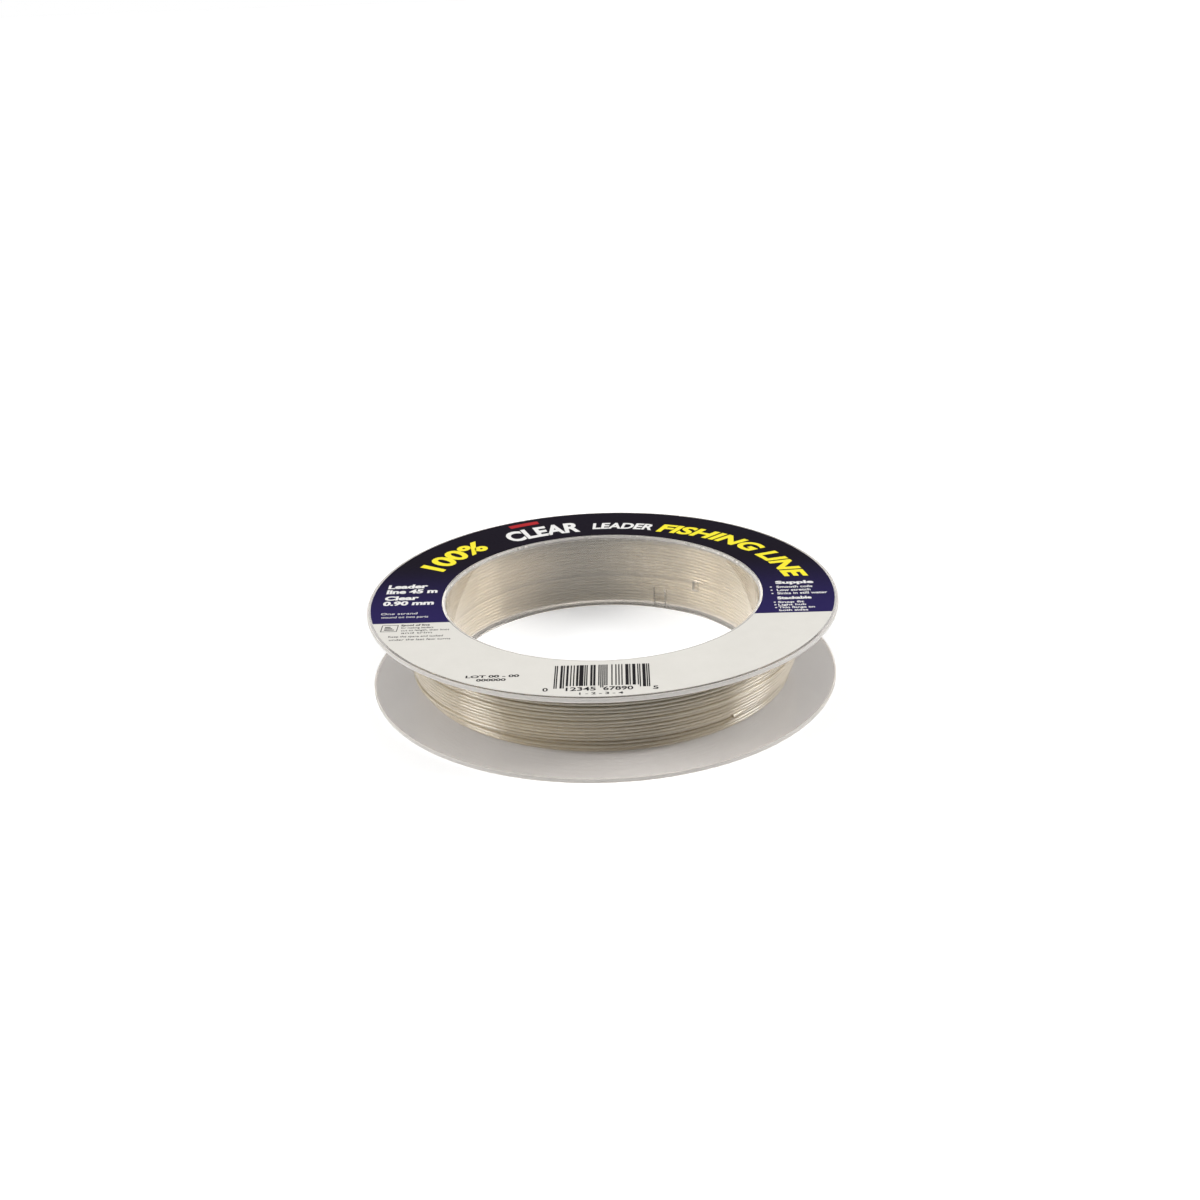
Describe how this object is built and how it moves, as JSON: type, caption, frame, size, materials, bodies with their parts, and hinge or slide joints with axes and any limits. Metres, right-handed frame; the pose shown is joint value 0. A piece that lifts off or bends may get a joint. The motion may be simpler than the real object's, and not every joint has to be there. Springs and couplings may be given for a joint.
{
  "type": "fishing line spool",
  "caption": "Flat clear plastic line spool with a wide open bore, a ring label on its upper flange and heavy clear leader line wound between its flanges.",
  "frame": {"origin": "centre of the bore on the surface that the spool stands on, the underside of the lower flange", "axes": "+Z along the bore's axis, from the lower flange to the labelled one; -Y towards the part of the label that carries the bar code; +X to its right"},
  "size_m": [0.118, 0.118, 0.0211],
  "materials": {
    "clear_plastic": "clear crystal polystyrene, glossy, faintly grey, slightly hazed by handling",
    "label_paper": "off-white coated label paper with a satin print, navy over half of the ring",
    "label_ink": "satin printing ink in black, navy, yellow and white",
    "fishing_line": "clear fluorocarbon monofilament, glossy, warm beige where many turns lie over each other"
  },
  "bodies": {
    "root": {"upper_flange_half": "clear_plastic", "lower_flange_half": "clear_plastic", "front_label": "label_paper", "line_winding": "fishing_line"}
  },
  "joints": []
}
